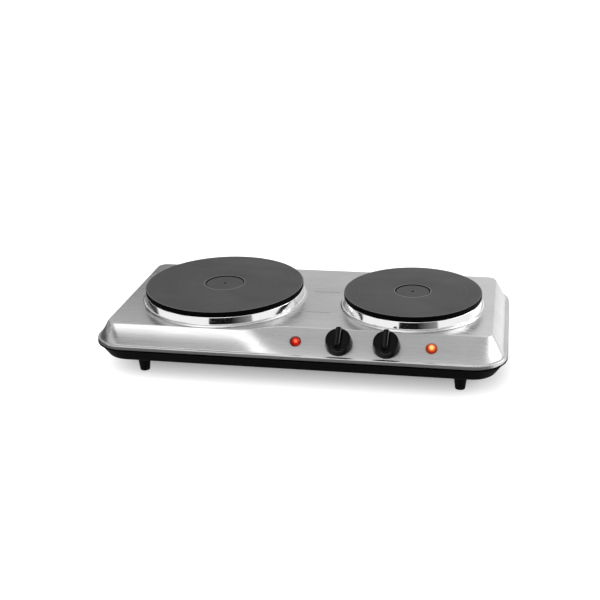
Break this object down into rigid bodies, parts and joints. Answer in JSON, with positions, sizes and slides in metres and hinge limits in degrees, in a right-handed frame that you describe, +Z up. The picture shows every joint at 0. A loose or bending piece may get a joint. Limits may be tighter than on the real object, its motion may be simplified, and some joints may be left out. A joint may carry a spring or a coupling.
{
  "type": "hot plate burner",
  "caption": "Countertop electric hot plate: pressed steel housing on short feet, a large and a small cast iron plate on spill rings, sloping panel with thermostat knobs and pilot lamps.",
  "frame": {"origin": "on the ground under the middle of the pan", "axes": "+X to the right seen from the control panel, +Y to the rear, +Z up"},
  "size_m": [0.4572, 0.2286, 0.0825],
  "materials": {
    "housing_steel": "brushed stainless sheet, pressed",
    "ring_steel": "polished stainless, spun",
    "pan_enamel": "satin black paint on pressed steel",
    "plate_iron": "turned cast iron under matt black heat proof coating",
    "foot_rubber": "moulded black rubber",
    "knob_plastic": "moulded black phenolic, glossy",
    "red_lens": "moulded clear red, glossy",
    "amber_lens": "moulded clear amber, glossy",
    "plated_steel": "zinc plated",
    "ceramic": "pressed steatite, unglazed",
    "brass": "stamped or turned, bright",
    "lamp_nylon": "moulded natural nylon",
    "bulb_glass": "clear glass",
    "gland_nylon": "moulded black nylon",
    "lead_sleeve": "varnished glass sleeving",
    "earth_sleeve": "green and yellow glass sleeving"
  },
  "bodies": {
    "root": {"top_housing": "housing_steel", "left_spill_ring": "ring_steel", "right_spill_ring": "ring_steel", "base_pan": "pan_enamel", "left_plate": "plate_iron", "right_plate": "plate_iron", "front_left_foot": "foot_rubber", "front_right_foot": "foot_rubber", "rear_left_foot": "foot_rubber", "rear_right_foot": "foot_rubber", "left_lamp_lens": "red_lens", "right_lamp_lens": "amber_lens", "foot_screws": "plated_steel", "corner_posts": "plated_steel", "stud_washers": "plated_steel", "stud_nuts": "plated_steel", "thermostat_screws": "plated_steel", "lamp_clips": "plated_steel", "fixing_screw": "plated_steel", "left_heat_shield": "plated_steel", "left_clamp_bar": "plated_steel", "left_stud": "plated_steel", "left_stud_spacer": "plated_steel", "left_thermostat_frame": "plated_steel", "right_heat_shield": "plated_steel", "right_clamp_bar": "plated_steel", "right_stud": "plated_steel", "right_stud_spacer": "plated_steel", "right_thermostat_frame": "plated_steel", "terminal_block": "ceramic", "left_heating_element": "ceramic", "left_pin_beads": "ceramic", "left_thermostat_base": "ceramic", "right_heating_element": "ceramic", "right_pin_beads": "ceramic", "right_thermostat_base": "ceramic", "block_screws": "brass", "earth_screw": "brass", "left_terminal_pins": "brass", "left_thermostat_tabs": "brass", "right_terminal_pins": "brass", "right_thermostat_tabs": "brass", "left_lamp_holder": "lamp_nylon", "right_lamp_holder": "lamp_nylon", "left_lamp_bulb": "bulb_glass", "right_lamp_bulb": "bulb_glass", "cord_gland": "gland_nylon", "heater_leads": "lead_sleeve", "live_leads": "lead_sleeve", "neutral_leads": "lead_sleeve", "earth_lead": "earth_sleeve"},
    "left_knob_body": {"left_knob": "knob_plastic", "left_knob_spring": "plated_steel", "left_spindle": "plated_steel"},
    "left_leaf_body": {"left_contact_leaf": "brass"},
    "right_knob_body": {"right_knob": "knob_plastic", "right_knob_spring": "plated_steel", "right_spindle": "plated_steel"},
    "right_leaf_body": {"right_contact_leaf": "brass"}
  },
  "joints": [
    {"name": "left_knob_turn", "type": "hinge", "parent": "root", "child": "left_knob_body", "pos_m": [0.051, -0.09703, 0.05597], "axis": [0, 0.5866, -0.8098], "range_deg": [0, 270]},
    {"name": "left_leaf_swing", "type": "hinge", "parent": "root", "child": "left_leaf_body", "pos_m": [0.0615, -0.0823, 0.05183], "axis": [0, -0.5866, 0.8098], "range_deg": [0, 7.4]},
    {"name": "right_knob_turn", "type": "hinge", "parent": "root", "child": "right_knob_body", "pos_m": [0.102, -0.09703, 0.05597], "axis": [0, 0.5866, -0.8098], "range_deg": [0, 270]},
    {"name": "right_leaf_swing", "type": "hinge", "parent": "root", "child": "right_leaf_body", "pos_m": [0.1125, -0.0823, 0.05183], "axis": [0, -0.5866, 0.8098], "range_deg": [0, 7.4]}
  ],
  "couplings": [
    {"joint": "left_leaf_swing", "follows": "left_knob_turn", "ratio": 0.024305},
    {"joint": "right_leaf_swing", "follows": "right_knob_turn", "ratio": 0.024305}
  ]
}
